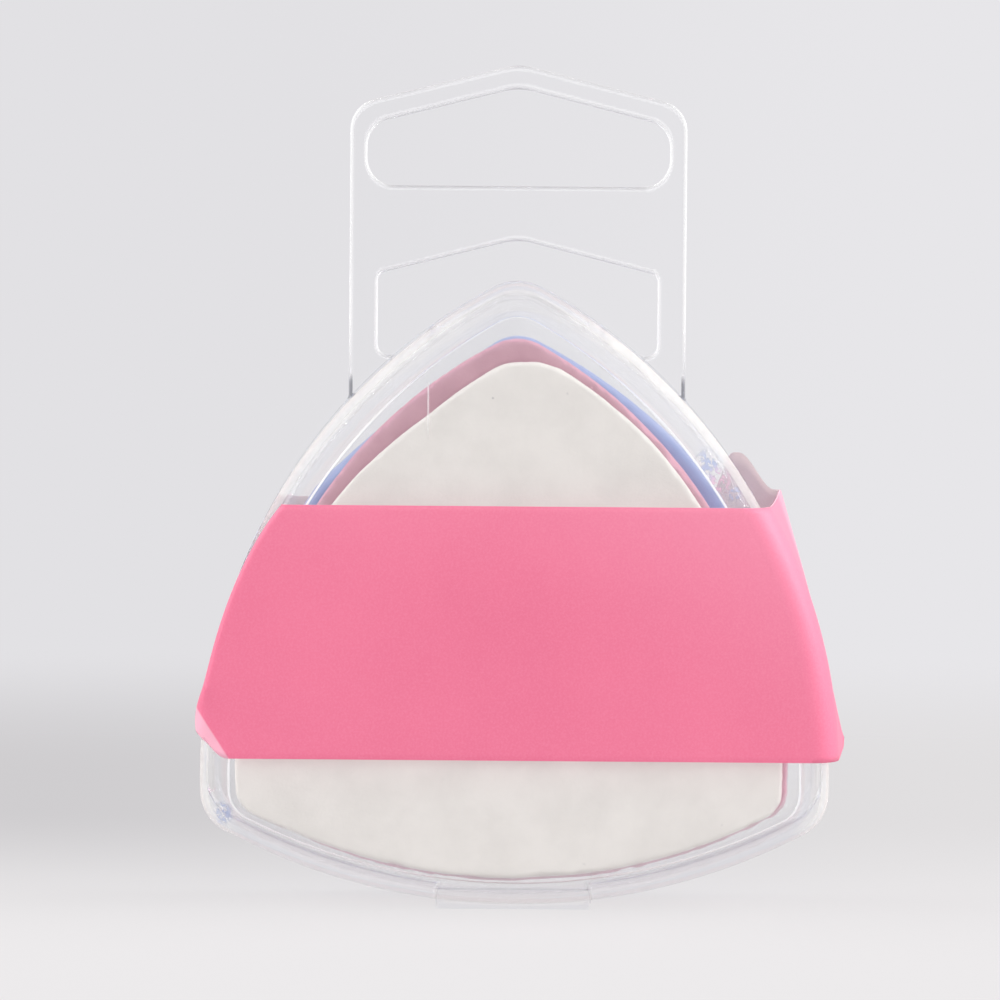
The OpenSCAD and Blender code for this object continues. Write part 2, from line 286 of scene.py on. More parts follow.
# Number of the column at each point of an outline, counted from the foot, and that of TOP_X[0]
COLUMN_N = len(half_ring(0))
COLUMN_OF = [abs(column) for column, z in mirrored([(column, 0) for column in range(COLUMN_N)])]
TOP_FIRST = COLUMN_N - len(TOP_X)


# How far the larger faces decide the shading
FLAT_WEIGHT = 90


class Shell:
    """Collects the points and faces of one mesh, in millimetres."""

    def __init__(self):
        self.points = []
        self.faces = []
        self.kinds = []

    def loop(self, points):
        first = len(self.points)
        self.points += points
        return list(range(first, len(self.points)))

    def flat_loop(self, outline, y):
        return self.loop([(x, y, z) for x, z in outline])

    def face(self, corners, kind=0):
        self.faces.append(corners)
        self.kinds.append(kind)

    def bridge(self, a, b, kind=0, closed=True):
        count = len(a)
        for i in range(count if closed else count - 1):
            j = (i + 1) % count
            self.face((a[i], a[j], b[j], b[i]), kind)

    def cap(self, loops, kind=0):
        """Fills the first loop, with the others as holes."""
        order = [i for loop in loops for i in loop]
        flat = []
        for loop in loops:
            flat.append([Vector((self.points[i][0], self.points[i][2], 0)) for i in loop])
        for corners in tessellate_polygon(flat):
            self.face(tuple(order[i] for i in corners), kind)

    def cap_ring(self, loop, kind=0):
        """Fills a loop made by mirrored() with strips from its right half to its left.

        The last face takes in the five corners at the top, because the loop may be dented there.
        """
        top = len(loop) // 2
        self.face(tuple(loop[top - 2:top + 3]), kind)
        for i in range(top - 2):
            corners = [loop[i], loop[i + 1], loop[-i - 1], loop[-i]]
            self.face(tuple(dict.fromkeys(corners)), kind)

    def build(self, name, materials):
        mesh = bpy.data.meshes.new(name)
        mesh.from_pydata([Vector(p) * MM for p in self.points], [], self.faces)
        for made in materials:
            mesh.materials.append(made)
        for polygon, kind in zip(mesh.polygons, self.kinds):
            polygon.material_index = kind
            polygon.use_smooth = True
        piece = bpy.data.objects.new(name, mesh)
        bpy.context.scene.collection.objects.link(piece)
        outward(mesh)
        shading = piece.modifiers.new("shading", "WEIGHTED_NORMAL")
        shading.weight = FLAT_WEIGHT
        return piece


def outward(mesh):
    """Turns every face outward."""
    work = bmesh.new()
    work.from_mesh(mesh)
    bmesh.ops.recalc_face_normals(work, faces=work.faces)
    work.to_mesh(mesh)
    work.free()


def dress(piece, body, node):
    """Puts a piece on its body in place of a solid."""
    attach(piece, body)
    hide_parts(node)


# Materials

# Share of plain see-through in the clear plastic
CLEAR_SHARE = 0.3
# Share of the light that passes through the paper
PAPER_GLOW = 0.85
DUST_BLUE = tuple((c / 255) ** 2.2 for c in (150, 165, 208))
DUST_PINK = tuple((c / 255) ** 2.2 for c in (224, 172, 194))
# How much a smudge of dust hides
DUST_SHARE = 0.6
# Smudges of dust: x, z, reach and squash, then the colour
SMUDGES = [
    (19.5, 45.8, 2.0, 0.8, DUST_BLUE),
    (20.8, 44.4, 1.6, 0.8, DUST_PINK),
    (22.4, 43.0, 0.9, 0.8, DUST_BLUE),
    (-29.9, 9.9, 1.3, 0.8, DUST_BLUE),
    (-31.1, 12.3, 0.5, 0.6, DUST_PINK),
    (-15.9, 5.6, 1.1, 3.0, DUST_PINK),
]
# Painted shade where the tab's legs meet the case: x, z and reach
ROOT_SHADE_SPOTS = [(-17.4, 53.2, 1.8), (17.4, 53.2, 1.8)]


def new_material(name):
    made = bpy.data.materials.new(name)
    made.use_nodes = True
    made.node_tree.nodes.clear()
    return made, made.node_tree


def connect(tree, socket, value):
    """Sets an input, or links it where the value is a socket."""
    if isinstance(value, bpy.types.NodeSocket):
        tree.links.new(value, socket)
    else:
        socket.default_value = value


def add(tree, kind, **inputs):
    """A node whose inputs are set or linked by name, with _ for a space."""
    node = tree.nodes.new("ShaderNode" + kind)
    for key, value in inputs.items():
        connect(tree, node.inputs[key.replace("_", " ")], value)
    return node


def output(tree, shader):
    add(tree, "OutputMaterial", Surface=shader.outputs[0])


def axes(tree, kind="Object"):
    """X, Y and Z of a texture coordinate."""
    return add(tree, "SeparateXYZ", Vector=add(tree, "TexCoord").outputs[kind]).outputs


def noise_map(tree, scale, detail=4, roughness=0.5):
    place = add(tree, "TexCoord").outputs["Object"]
    node = add(tree, "TexNoise", Vector=place, Scale=scale, Detail=detail, Roughness=roughness)
    return node.outputs["Fac"]


def ramp(tree, source, stops):
    """Colour ramp with stops of (position, colour)."""
    node = add(tree, "ValToRGB", Fac=source)
    elements = node.color_ramp.elements
    while len(elements) < len(stops):
        elements.new(0.5)
    for element, (position, colour) in zip(elements, stops):
        element.position = position
        element.color = (*colour, 1)
    return node.outputs["Color"]


def linear(*srgb):
    """Scene colour from an sRGB colour of 0 to 255."""
    return tuple(((c / 255 + 0.055) / 1.055) ** 2.4 for c in srgb)


def matte(tree, *srgb):
    return add(tree, "BsdfDiffuse", Color=(*linear(*srgb), 1))


def bump(tree, height, distance, strength):
    node = add(tree, "Bump", Height=height, Distance=distance, Strength=strength)
    return node.outputs["Normal"]


def mixed(tree, share, a, b):
    """Mix of two shaders, a share of b."""
    node = add(tree, "MixShader", Fac=share)
    tree.links.new(a.outputs[0], node.inputs[1])
    tree.links.new(b.outputs[0], node.inputs[2])
    return node


def maths(tree, operation, *values):
    """Result of an operation, kept between 0 and 1."""
    node = add(tree, "Math")
    node.operation = operation
    node.use_clamp = True
    for socket, value in zip(node.inputs, values):
        connect(tree, socket, value)
    return node.outputs[0]


def times(tree, *values):
    """Product of the values, from the left."""
    product = values[0]
    for value in values[1:]:
        product = maths(tree, "MULTIPLY", product, value)
    return product


def away_from_0(tree, value):
    return maths(tree, "ABSOLUTE", value)


def span(tree, value, low, high):
    """0 to 1 as a value goes smoothly from low to high."""
    node = add(tree, "MapRange", Value=value, From_Min=low, From_Max=high)
    node.interpolation_type = "SMOOTHSTEP"
    return node.outputs["Result"]


def between(tree, share, low, high):
    """low to high as a share goes from 0 to 1."""
    return maths(tree, "MULTIPLY_ADD", share, high - low, low)


def blend(tree, share, a, b):
    """Mix of two colours, each a socket or a tuple."""
    node = add(tree, "Mix")
    node.data_type = "RGBA"
    tree.links.new(share, node.inputs["Factor"])
    for socket, value in ((node.inputs[6], a), (node.inputs[7], b)):
        connect(tree, socket, (*value, 1) if isinstance(value, tuple) else value)
    return node.outputs[2]


def any_ray(tree, *kinds):
    """1 for a ray of any of the kinds, else 0."""
    path = add(tree, "LightPath").outputs
    share = path[kinds[0]]
    for kind in kinds[1:]:
        share = maths(tree, "MAXIMUM", share, path[kind])
    return share


def near(tree, x, z, reach, squash=1.0):
    """1 at a point of the case's front, in millimetres, falling to 0 at a reach from it."""
    place = add(tree, "TexCoord").outputs["Object"]
    origin = (-x * MM, 0, -z * squash * MM)
    shift = add(tree, "Mapping", Vector=place, Location=origin, Scale=(1, 0, squash))
    away = add(tree, "VectorMath", Vector=shift.outputs[0])
    away.operation = "LENGTH"
    return span(tree, away.outputs["Value"], reach * MM, reach * 0.3 * MM)


def finish_plastic(tree, clear_share, layers=()):
    """Glass with a share of plain see-through, under layers of (share, shader)."""
    body = add(
        tree, "BsdfPrincipled",
        Base_Color=(1, 1, 1, 1), Roughness=0.04, IOR=1.49, Transmission_Weight=1.0,
        Normal=bump(tree, noise_map(tree, 60, 3), 0.0006, 0.15),
    )
    through = add(tree, "BsdfTransparent", Color=(0.99, 0.99, 0.992, 1))
    body = mixed(tree, clear_share, body, through)
    for share, shader in layers:
        body = mixed(tree, share, body, shader)
    lamp = any_ray(tree, "Is Shadow Ray", "Is Diffuse Ray")
    output(tree, mixed(tree, lamp, body, through))


def plain_plastic(name, clear_share):
    """Clear styrene: bends what is seen through it and lets lamps through."""
    made, tree = new_material(name)
    finish_plastic(tree, clear_share)
    return made


def scuffed_and_sheen_plastic(name, haze, clear_share):
    """Cover's shoulder and bevel: a white haze, partly scuffs from handling above the label and
    partly a painted highlight, stronger on the lit right and on the flanks, with smudges of dust.
    """
    made, tree = new_material(name)
    x, y, z = axes(tree)
    haze_and_sheen_streaks = add(
        tree, "MapRange",
        Value=noise_map(tree, 350, 4, 0.6), To_Min=haze * 0.6, To_Max=haze * 1.4,
    ).outputs["Result"]
    # Painted highlight: the haze is raised on the right, where the light falls, and on the flanks,
    # painted as bright sides
    above = times(tree, span(tree, z, 0.036, 0.042), span(tree, z, 0.064, 0.057))
    lit = between(tree, span(tree, x, -0.005, 0.01), 0.6, 0.8)
    handled_and_lit = between(tree, times(tree, above, lit), 0.15, 1)
    flank_sheen = times(tree, span(tree, away_from_0(tree, x), 0.027, 0.031), 0.7)
    share = times(tree, haze_and_sheen_streaks, maths(tree, "MAXIMUM", handled_and_lit, flank_sheen))
    layers = [(share, matte(tree, 253, 250, 244))]
    for *spot, colour in SMUDGES:
        grain = span(tree, noise_map(tree, 1500, 3, 0.7), 0.42, 0.6)
        dust = add(tree, "BsdfDiffuse", Color=(*colour, 1))
        layers.append((times(tree, near(tree, *spot), grain, DUST_SHARE), dust))
    finish_plastic(tree, clear_share, layers)
    return made


def line_plastic(name):
    """Rounded edge round the window, with a painted highlight: a thin bright line, faint towards
    the apex.
    """
    made, tree = new_material(name)
    x, y, z = axes(tree)
    side = between(tree, span(tree, away_from_0(tree, x), 0.004, 0.015), 0.3, 1)
    height = times(tree, span(tree, z, 0.06, 0.046), span(tree, z, -0.01, 0.03))
    share = times(tree, between(tree, height, 0.25, 0.85), side)
    finish_plastic(tree, CLEAR_SHARE, [(share, matte(tree, 255, 255, 255))])
    return made


def pane_plastic(name):
    """The window's outer face, with a thin pale line on its left."""
    made, tree = new_material(name)
    x, y, z = axes(tree)
    # 20 mm further right, because maths() keeps no value below 0
    moved = maths(tree, "ADD", x, 0.02)
    thin_line = times(tree, span(tree, moved, 0.01072, 0.01088), span(tree, moved, 0.01104, 0.01088))
    height = times(tree, span(tree, z, 0.0482, 0.0512), span(tree, z, 0.0546, 0.0538))
    share = times(tree, thin_line, height, 0.55)
    finish_plastic(tree, CLEAR_SHARE, [(share, matte(tree, 252, 248, 250))])
    return made


def cut_plastic(name):
    """Rounded edges of the hang tab: painted highlights, white and partly glowing, where they face
    the sides, and painted shade underneath and at the legs' roots.
    """
    made, tree = new_material(name)
    x, y, z = axes(tree)
    facing = axes(tree, "Normal")
    side = maths(tree, "POWER", away_from_0(tree, facing["X"]), 0.8)
    inner = span(tree, away_from_0(tree, x), 0.0165, 0.016)
    lit = times(tree, side, maths(tree, "MAXIMUM", inner, span(tree, z, 0.052, 0.062)))
    patchy = between(tree, span(tree, noise_map(tree, 70, 2), 0.2, 0.6), 0.55, 0.9)
    # Painted glow: part of the edges' white highlight emits light of its own
    glow = add(tree, "Emission", Color=(1, 1, 1, 1), Strength=1.0)
    root_shade = maths(tree, "MAXIMUM", *(near(tree, *root) for root in ROOT_SHADE_SPOTS))
    # Painted shade on downward faces and at the roots, painted highlight on edges facing the sides
    layers = [
        (times(tree, facing["Z"], -0.45), matte(tree, 170, 170, 180)),
        (times(tree, root_shade, 0.55), matte(tree, 120, 122, 130)),
        (times(tree, lit, patchy), mixed(tree, 0.5, matte(tree, 255, 255, 255), glow)),
    ]
    finish_plastic(tree, CLEAR_SHARE, layers)
    return made


def chalk(name, light, dark, speck, edge):
    """Pressed clay: soft mottling, fine grain and a few specks, with its bevels and sides in a tone
    of their own as painted light and shade.
    """
    made, tree = new_material(name)
    colour = ramp(tree, noise_map(tree, 160, 5, 0.6), [(0.3, dark), (0.62, light)])
    specks = ramp(tree, noise_map(tree, 900, 2, 0.5), [(0.76, (0, 0, 0)), (0.8, (1, 1, 1))])
    # Painted light and shade: faces turned away from the front take the edge colour, lighter on the
    # pink, darker on the white and blue
    rim = span(tree, away_from_0(tree, axes(tree, "Normal")["Y"]), 0.9, 0.5)
    shader = add(
        tree, "BsdfPrincipled",
        Base_Color=blend(tree, rim, blend(tree, specks, colour, speck), edge),
        Roughness=0.85, Specular_IOR_Level=0.25,
        Normal=bump(tree, noise_map(tree, 2600, 6, 0.65), 0.0001, 0.35),
    )
    output(tree, shader)
    return made


def paper(name, light, dark, pale, bare, roughness):
    """Coated paper with a faint uneven print and fibre, which lets some light through."""
    made, tree = new_material(name)
    colour = ramp(tree, noise_map(tree, 45, 4, 0.55), [(0.3, dark), (0.7, light)])
    x, y, z = axes(tree)
    right = maths(tree, "MAXIMUM", x, 0.0)
    # Paler at the upper right, bare at the rear edge and on the lip turned back at lower left
    paler_upper_right = span(tree, maths(tree, "MULTIPLY_ADD", right, 0.6, z), 0.03, 0.07)
    rear = times(tree, span(tree, y, 0.003, 0.009), span(tree, z, 0.026, 0.04), 0.8)
    slant = maths(tree, "ADD", maths(tree, "MULTIPLY_ADD", z, 0.67, 0.05), x)
    lip = span(tree, slant, 0.0313, 0.0310)
    # The back panel lies behind this depth
    front = span(tree, y, 0.01, 0.0096)
    grain = span(tree, noise_map(tree, 4200, 3, 0.7), 0.35, 0.75)
    colour = blend(tree, maths(tree, "MULTIPLY_ADD", grain, 0.28, paler_upper_right), colour, pale)
    colour = blend(tree, times(tree, maths(tree, "MAXIMUM", lip, rear), front), colour, bare)
    shader = add(
        tree, "BsdfPrincipled",
        Base_Color=colour, Roughness=roughness, Specular_IOR_Level=0.4,
        Normal=bump(tree, noise_map(tree, 1800, 6, 0.7), 0.00008, 0.25),
    )
    through = add(tree, "BsdfTransparent", Color=(1, 0.9, 0.93, 1))
    lamp = times(tree, any_ray(tree, "Is Shadow Ray", "Is Diffuse Ray"), PAPER_GLOW)
    output(tree, mixed(tree, lamp, shader, through))
    return made


CLEAR = plain_plastic("clear_plastic", CLEAR_SHARE)
SHOULDER = scuffed_and_sheen_plastic("clear_plastic_shoulder", 0.55, 0.8)
BEVEL = scuffed_and_sheen_plastic("clear_plastic_bevel", 0.2, 0.9)
LINE = line_plastic("clear_plastic_line")
PANE = pane_plastic("clear_plastic_pane")
# The pocket wall and the cover's inner faces, hard to see behind its outer ones
FAINT = plain_plastic("clear_plastic_pocket", 0.9)
CUT_PLASTIC = cut_plastic("clear_plastic_edge")
WHITE = chalk(
    "white_clay",
    light=linear(231, 227, 222), dark=linear(222, 218, 213),
    speck=linear(176, 172, 172), edge=linear(226, 221, 217),
)
PINK = chalk(
    "pink_clay",
    light=linear(203, 163, 175), dark=linear(188, 148, 160),
    speck=linear(226, 186, 198), edge=linear(209, 162, 177),
)
BLUE = chalk(
    "blue_clay",
    light=linear(164, 178, 214), dark=linear(148, 163, 202),
    speck=linear(190, 196, 220), edge=linear(164, 174, 208),
)
PRINT = paper(
    "label_print",
    light=linear(240, 120, 152), dark=linear(233, 112, 145),
    pale=linear(245, 144, 172), bare=linear(247, 178, 198), roughness=0.5,
)
CUT = paper(
    "label_cut_edge",
    light=linear(250, 200, 214), dark=linear(245, 190, 205),
    pale=linear(250, 200, 214), bare=linear(250, 205, 218), roughness=0.8,
)
# Inside of the label: the pink print showing through, greyed as painted shade
SHADED_INSIDE = paper(
    "label_inside_shaded",
    light=linear(203, 185, 188), dark=linear(191, 172, 176),
    pale=linear(205, 188, 191), bare=linear(207, 190, 193), roughness=0.8,
)


# Lid


def notch_depth(column):
    """How far the rim is cut back at a column of the outline."""
    inside = column - TOP_FIRST - len(BESIDE_NOTCH)
    if inside < 0:
        return 0
    turn = NOTCH_TURN[min(inside, len(NOTCH_TURN) - 1)]
    return NOTCH_D - NOTCH_R * (1 - sin(turn))


def lid_loop(shell, y, d, pull=0, foot_z=None):
    """Loop of the lid at depth y and inset d.

    pull is how much of the notch it follows, foot_z the height of its foot if that is flat.
    """
    points = []
    for (x, z), column in zip(ring(d), COLUMN_OF):
        if foot_z is not None and column <= FOOT_LAST:
            z = foot_z
        points.append((x, y - pull * notch_depth(column), z))
    return shell.loop(points)


SHOULDER_R = 1.6
# Depth and inset [y, d] where the bevel would meet the side
BEVEL_END = (FRONT_Y + BEVEL_H * (WINDOW_D - DRAFT) / BEVEL_W, DRAFT)
WINDOW_EDGE = (FRONT_Y, WINDOW_D)
WINDOW_ROUND = 0.5
RIM_EDGE = (RIM_Y, 0)
# Width of the flat strip that keeps the window's shading flat
SUPPORT = 0.8
# Strips of the window's rounded edge and of the shoulder
LINE_N = 5
SHOULDER_N = 10
OUTER_PROFILE = (
    [(FRONT_Y, WINDOW_D + SUPPORT)]
    + fillet((FRONT_Y, WINDOW_D + SUPPORT), WINDOW_EDGE, BEVEL_END, WINDOW_ROUND, LINE_N)
    + fillet(WINDOW_EDGE, BEVEL_END, RIM_EDGE, SHOULDER_R, SHOULDER_N)
)
# The strips in order, from the window outwards: pane, line, bevel, shoulder, skirt
BEVEL_AT = 1 + LINE_N
SKIRT_AT = BEVEL_AT + 1 + SHOULDER_N
# Where the skirt and the inner wall have a loop between their ends
WALL_STEPS = (0.35, 0.7)


def make_lid():
    shell = Shell()
    loops = [lid_loop(shell, y, d) for y, d in OUTER_PROFILE]
    window = loops[0]
    wall_from = OUTER_PROFILE[-1]
    foot_y = wall_from[0] + 0.05
    # The foot starts with a step
    for y, foot in ((foot_y, None), (foot_y + 0.03, 0)):
        t = (y - wall_from[0]) / (RIM_Y - wall_from[0])
        loops.append(lid_loop(shell, y, mix(wall_from[1], 0, t), foot_z=foot))
    for t in WALL_STEPS:
        y = mix(foot_y, RIM_Y, t)
        loops.append(lid_loop(shell, y, mix(wall_from[1], 0, t), pull=t, foot_z=0))
    inner_rim = (RIM_Y, WALL)
    inner_corner = (SHOULDER_Y + WALL, WALL + DRAFT)
    inner_window = (FRONT_Y + WALL, WINDOW_D + WALL / 4)
    inner_flat = (inner_window[0], inner_window[1] + SUPPORT)
    for y, d in fillet(wall_from, RIM_EDGE, inner_rim, EDGE_R, 4):
        loops.append(lid_loop(shell, y, d, pull=1, foot_z=d))
    outer_count = len(loops)
    for y, d in fillet(RIM_EDGE, inner_rim, inner_corner, EDGE_R, 4):
        loops.append(lid_loop(shell, y, d, pull=1))
    for t in WALL_STEPS:
        loops.append(lid_loop(shell, *mix2(inner_rim, inner_corner, t), pull=1 - t))
    for y, d in fillet(inner_rim, inner_corner, inner_window, 0.6, 5):
        loops.append(lid_loop(shell, y, d))
    for y, d in fillet(inner_corner, inner_window, inner_flat, 0.5, 4):
        loops.append(lid_loop(shell, y, d))
    loops.append(lid_loop(shell, *inner_flat))
    clear, shoulder, bevel, line, pane, faint = range(6)
    kinds = [pane] + [line] * LINE_N + [bevel] + [shoulder] * SHOULDER_N
    kinds += [clear] * (outer_count - len(kinds))
    kinds += [faint] * (len(loops) - 1 - len(kinds))
    for i, kind in enumerate(kinds):
        first = len(shell.kinds)
        shell.bridge(loops[i], loops[i + 1], kind)
        if i < SKIRT_AT:
            continue
        # The foot's sides get the window line's painted highlight, and its face is hard to see
        for j, column in enumerate(COLUMN_OF):
            column = min(column, COLUMN_OF[(j + 1) % len(COLUMN_OF)])
            if column <= FOOT_LAST:
                shell.kinds[first + j] = line if column == FOOT_LAST else faint
    shell.cap_ring(window, pane)
    shell.cap_ring(loops[-1], faint)
    piece = shell.build("lid_shell", [CLEAR, SHOULDER, BEVEL, LINE, PANE, FAINT])
    dress(piece, "cover", "lid")


# Tray


# Centre of the fillet where a leg leaves the case, and the first column left out below it
ROOT_OUT = (TAB_W / 2 + ROOT_R, side_z(TAB_W / 2 + ROOT_R, -ROOT_R))
# How far the case's columns stop short of a root
ROOT_GAP = 2
LEG_COLUMN = len([z for x, z in half_ring(0)[:TOP_FIRST] if z < ROOT_OUT[1] - ROOT_GAP])
# Strips of a rounded peak, an even number
PEAK_N = 8


def half_peak(low, peak, radius):
    """Right half of a rounded peak, up to the middle line."""
    half = fillet(low, peak, (-low[0], low[1]), radius, PEAK_N)[:PEAK_N // 2 + 1]
    return half[:-1] + [(0, half[-1][1])]


def plate_outline(e):
    """Outline of the back plate and its tab, drawn in by e."""
    side = FOOT_SIDE - e
    bottom = [(0, e), (side, e), (side, bottom_z(side, e))]
    case = half_ring(e)[len(FOOT_X):LEG_COLUMN]
    root = ROOT_OUT
    start = direction(SIDE_C, case[-1])
    end = direction(SIDE_C, root)
    case += arc(SIDE_C, SIDE_R - e, mix(start, end, 0.2), end, 5)
    leg = arc(root, ROOT_R + e, end - pi, -pi, 8) + [spoke(root, ROOT_R + e, pi)]
    corner = (TAB_W / 2 - e, TAB_Z - SLOPE * (TAB_W / 2 - e) - e * LEAN)
    peak = (0, TAB_Z - e * LEAN)
    tab = fillet(leg[-1], corner, peak, TAB_R - e, 12) + half_peak(corner, peak, PEAK_R - e)
    return mirrored(bottom + case + leg + tab)


def slot_outline(e):
    """Outline of the hang slot, widened by e."""
    end_x = SLOT_W / 2 + e
    low = (end_x, SLOT_Z - e)
    high = (end_x, SLOT_Z + SLOT_H - SLOPE * end_x + e * LEAN)
    peak = (0, SLOT_Z + SLOT_H + e * LEAN)
    half = [(0, low[1])] + fillet((0, low[1]), low, high, SLOT_R + e, 12)
    half += fillet(low, high, peak, SLOT_R + e, 12) + half_peak(high, peak, PEAK_R + e)
    return mirrored(half)


def window_outline(e):
    """Outline of the window between the legs and the case, widened by e."""
    root_x = WINDOW_W / 2 - ROOT_R
    root = (root_x, side_z(root_x, -ROOT_R))
    angle = direction(SIDE_C, root)
    top = [(x, z) for x, z in half_ring(e)[TOP_FIRST:] if x < root_x - ROOT_GAP]
    start = direction(SIDE_C, top[0])
    case = top[::-1]
    case += arc(SIDE_C, SIDE_R - e, mix(start, angle, 0.2), angle, 4)
    leg = arc(root, ROOT_R + e, angle - pi, 0, 8) + [spoke(root, ROOT_R + e, 0)]
    end_x = WINDOW_W / 2 + e
    high = (end_x, WINDOW_Z - SLOPE * end_x + e * LEAN)
    peak = (0, WINDOW_Z + e * LEAN)
    above = fillet(leg[-1], high, peak, WINDOW_R + e, 8) + half_peak(high, peak, PEAK_R + e)
    return mirrored(case + leg + above)


def pocket_loop(shell, y, d, bead=0):
    """Loop of the pocket wall. bead lifts it at the height of the snap beads."""
    points = []
    for plain, raised in zip(ring(d), ring(d - bead)):
        x, z = raised if abs(plain[1] - BEAD_Z) < BEAD_L / 2 else plain
        points.append((x, y, z))
    return shell.loop(points)


def make_tray():
    shell = Shell()
    clear, cut, faint = range(3)
    edge = [(BACK_Y, PLATE_R + PLATE_RIM)]
    edge += fillet((BACK_Y, PLATE_R), (BACK_Y, 0), (PLATE_Y, 0), PLATE_R, 5)
    edge += fillet((BACK_Y, 0), (PLATE_Y, 0), (PLATE_Y, PLATE_R), PLATE_R, 5)
    edge.append((PLATE_Y, PLATE_R + PLATE_RIM))
    ends = []
    for outline in (plate_outline, slot_outline, window_outline):
        loops = [shell.flat_loop(outline(e), y) for y, e in edge]
        for i, (a, b) in enumerate(zip(loops, loops[1:])):
            shell.bridge(a, b, cut if 0 < i < len(loops) - 2 else clear)
        ends.append((loops[0], loops[-1]))
    shell.cap([back for back, front in ends])
    bead_y = RIM_Y - BEAD_BACK
    wall = [pocket_loop(shell, PLATE_Y, POCKET_OUT)]
    for y, bead in (
        (bead_y, 0), (bead_y - BEAD_EDGE, BEAD_H),
        (bead_y - BEAD_T + BEAD_EDGE, BEAD_H), (bead_y - BEAD_T, 0),
    ):
        t = (PLATE_Y - y) / (PLATE_Y - POCKET_Y)
        wall.append(pocket_loop(shell, y, POCKET_OUT + DRAFT * t, bead))
    outer = (POCKET_Y, POCKET_OUT + DRAFT)
    inner = (POCKET_Y, POCKET_IN)
    for y, d in fillet((PLATE_Y, POCKET_OUT), outer, inner, EDGE_R, 4):
        wall.append(pocket_loop(shell, y, d))
    for y, d in fillet(outer, inner, (PLATE_Y, POCKET_IN), EDGE_R, 4):
        wall.append(pocket_loop(shell, y, d))
    wall.append(pocket_loop(shell, PLATE_Y, POCKET_IN))
    for a, b in zip(wall, wall[1:]):
        shell.bridge(a, b, faint)
    shell.cap([front for back, front in ends] + [wall[0]])
    shell.cap_ring(wall[-1])
    piece = shell.build("tray_shell", [CLEAR, CUT_PLASTIC, FAINT])
    dress(piece, "base", "base_tray")


# Tablets

# Chips and rubbed spots per millimetre of edge, the rubbed ones as a multiple
CHIP_SCALE = 0.55
RUB_SCALE = 4.1


def worn(point, inner, seed, depth):
    """A point of a tablet's edge, drawn in where the edge is chipped or rubbed."""
    place = Vector(point) * CHIP_SCALE + Vector((seed, 0, 0))
    chip = max(0, noise.noise(place) - 0.12) * 1.6
    rub = 0.35 * noise.noise(place * RUB_SCALE)
    amount = depth * max(0, chip + rub + 0.1)
    return tuple(mix(a, b, amount) for a, b in zip(point, inner))


# Loops of a tablet's edge, from its face inwards: share of the bevel in depth and what is added to
# it, share of the bevel in inset and what is added to it, and the share of the wear
EDGE_LEVELS = [
    (0, 0, 1, 0.8, 0),
    (0, 0, 1, 0.4, 0.1),
    (0.03, 0, 1, 0, 0.5),
    (0.18, 0, 0.5, 0, 1),
    (0.5, 0, 0.2, 0, 1),
    (1, 0, 0, 0, 0.6),
    (1, 1, 0, 0, 0.2),
]

# Clay lost from each tablet's outline at each height, on the left and on the right, in millimetres.
# The blue one is fuller at half height than its outline.
WHITE_LOSS = (
    [
        (0, 0.9), (8, 0.6), (12, -0.2), (16, -0.2), (41.7, 1.25),
        (44, 1.38), (47, 1.6), (50, 1.95), (54, 2.35), (58.73, 2.1),
    ],
    [(0, 0.9), (15, 1.0), (41.7, 1.4), (50, 1.06), (57, 1.1), (58.2, 1.6), (58.73, 2.05)],
)
PINK_LOSS = (
    [(0, 0), (58.73, 0)],
    [(0, 0), (20, 0.3), (41.4, 0.58), (50, 0.4), (58.73, 0)],
)
BLUE_LOSS = (
    [(0, 0), (20, 0), (30, -0.9), (41.6, -1.15), (45, -0.5), (49, 0.05), (57, 0.15), (58.73, -0.2)],
    [
        (0, 0), (20, 0), (30, -0.9), (41.6, -1.15), (46, -0.9),
        (50, -0.6), (54, -0.35), (57, -0.2), (58.73, -0.2),
    ],
)


def read_table(table, z):
    """Value at a height from a table of (height, value)."""
    for (z0, a), (z1, b) in zip(table, table[1:]):
        if z < z1:
            return mix(a, b, max(0, z - z0) / (z1 - z0))
    return table[-1][1]


def make_tablet(name, node, place, finish, seed, losses, bevel, wear):
    """Pressed tablet, with its place counted from the back.

    bevel is given at its foot and above it. wear is the depth of its chips.
    """
    shell = Shell()
    y1 = PLATE_Y - SEAT - place * (TABLET_T + SEAT)
    y0 = y1 - TABLET_T
    columns = []
    for point, inner in zip(tablet_ring(0, TABLET_APEX_R), tablet_ring(1, TABLET_APEX_R)):
        loss = read_table(losses[point[0] > 0], point[1])
        columns.append((point, inner, loss, mix(*bevel, ease((point[1] - 4) / 6))))
    loops = []
    for face, way, levels in ((y0, 1, EDGE_LEVELS), (y1, -1, EDGE_LEVELS[::-1])):
        for depth, deeper, share, more, worn_share in levels:
            points = []
            for point, inner, loss, size in columns:
                y = face + way * (size * depth + deeper)
                inset = loss + size * share + more
                x, z = mix2(point, inner, inset)
                u, v = mix2(point, inner, inset + 1)
                points.append(worn((x, y, z), (u, y, v), seed, wear * worn_share))
            loops.append(shell.loop(points))
    for a, b in zip(loops, loops[1:]):
        shell.bridge(a, b)
    shell.cap_ring(loops[0])
    shell.cap_ring(loops[-1])
    dress(shell.build(name, [finish]), "base", node)


# Label

# Rows up the label, and points along its wrapped edge, front, bend and loose side
LABEL_ROWS = 40
WRAP_N = 16
FRONT_N = 36
BEND_N = 14
LOOSE_N = 14
# How far the left edge wraps round the case, at the top and at the foot
WRAP_TOP = 3.3
WRAP_LOW = 7.2
# The lower left corner is cut off: over which share of the height, and what is left of the wrap
TUCK_SHARE = 0.16
TUCK_LEFT = 0.35
